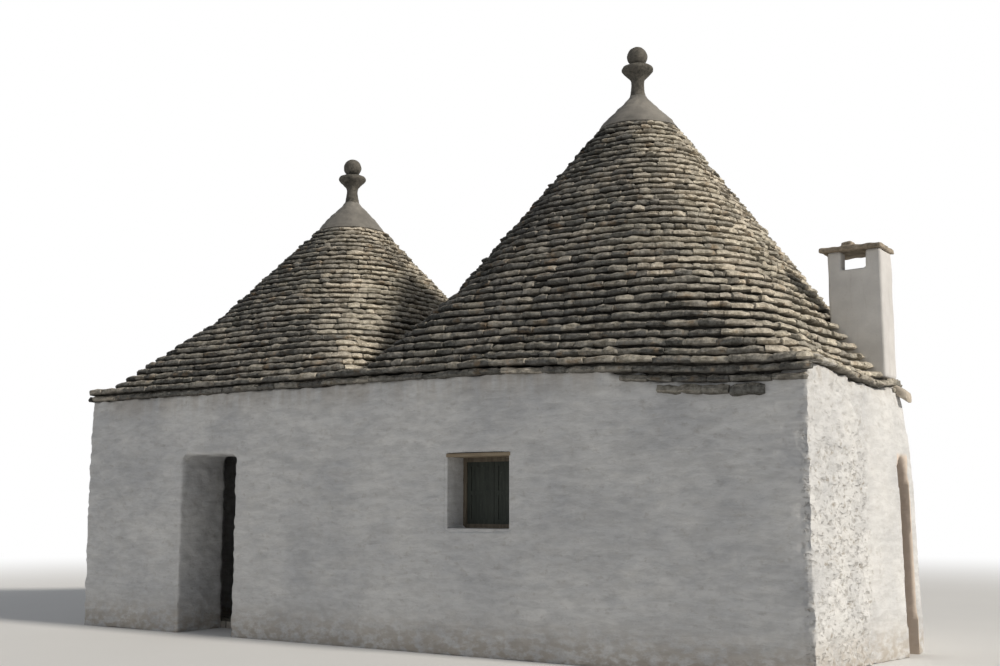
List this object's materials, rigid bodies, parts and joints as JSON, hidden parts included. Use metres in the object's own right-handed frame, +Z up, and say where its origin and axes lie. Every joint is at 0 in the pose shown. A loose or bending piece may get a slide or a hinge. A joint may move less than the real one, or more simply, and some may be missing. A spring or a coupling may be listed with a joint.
{
  "type": "trullo house",
  "caption": "Whitewashed dry-stone trullo house with corbelled cones of stone slabs, ball pinnacles, a flush side chimney, a recessed window and open doorways.",
  "frame": {"origin": "centre of the building's bounding box at ground level", "axes": "+X along the front wall towards the chimney end, -Y out of the front wall with the window, +Z up"},
  "size_m": [9.73, 5.21, 7.0142],
  "materials": {
    "whitewash": "lime-washed rubble masonry, lumpy and matt",
    "plaster": "smooth lime plaster, whitewashed",
    "roof_stone": "dry-laid weathered limestone slabs",
    "collar_plaster": "grey trowelled lime mortar",
    "weathered_stone": "carved limestone with dark lichen",
    "vault_stone": "rough corbelled limestone",
    "floor_stone": "worn flat limestone paving",
    "lintel_wood": "old unpainted timber",
    "frame_wood": "weathered timber",
    "leaf_wood": "faded dark green-grey paint on timber"
  },
  "bodies": {
    "root": {"back_wall": "whitewash", "chimney_cap": "weathered_stone", "chimney_pillars": "plaster", "chimney_shaft": "plaster", "corner_courses": "roof_stone", "cross_arch": "whitewash", "cross_wall_piers": "whitewash", "door_lintel": "whitewash", "eave_spout": "roof_stone", "front_wall_below_window": "whitewash", "front_wall_corner": "whitewash", "front_wall_left": "whitewash", "front_wall_middle": "whitewash", "front_wall_over_door": "whitewash", "front_wall_over_window": "whitewash", "front_wall_right_of_window": "whitewash", "left_wall": "whitewash", "main_ball": "weathered_stone", "main_collar": "collar_plaster", "main_dish": "weathered_stone", "main_dome_lower": "vault_stone", "main_dome_upper": "vault_stone", "main_floor": "floor_stone", "main_roof_eave": "roof_stone", "main_roof_middle": "roof_stone", "main_roof_upper": "roof_stone", "rear_corner": "whitewash", "right_eave_course": "roof_stone", "right_wall": "whitewash", "side_ball": "weathered_stone", "side_collar": "collar_plaster", "side_dish": "weathered_stone", "side_dome_lower": "vault_stone", "side_dome_upper": "vault_stone", "side_doorway_arch": "whitewash", "side_doorway_piers": "whitewash", "side_floor": "floor_stone", "side_roof_eave": "roof_stone", "side_roof_upper": "roof_stone", "wall_head_courses": "roof_stone", "window_frame": "frame_wood", "window_leaf_left": "leaf_wood", "window_leaf_right": "leaf_wood", "window_lintel": "lintel_wood", "window_sill": "whitewash"}
  },
  "joints": []
}
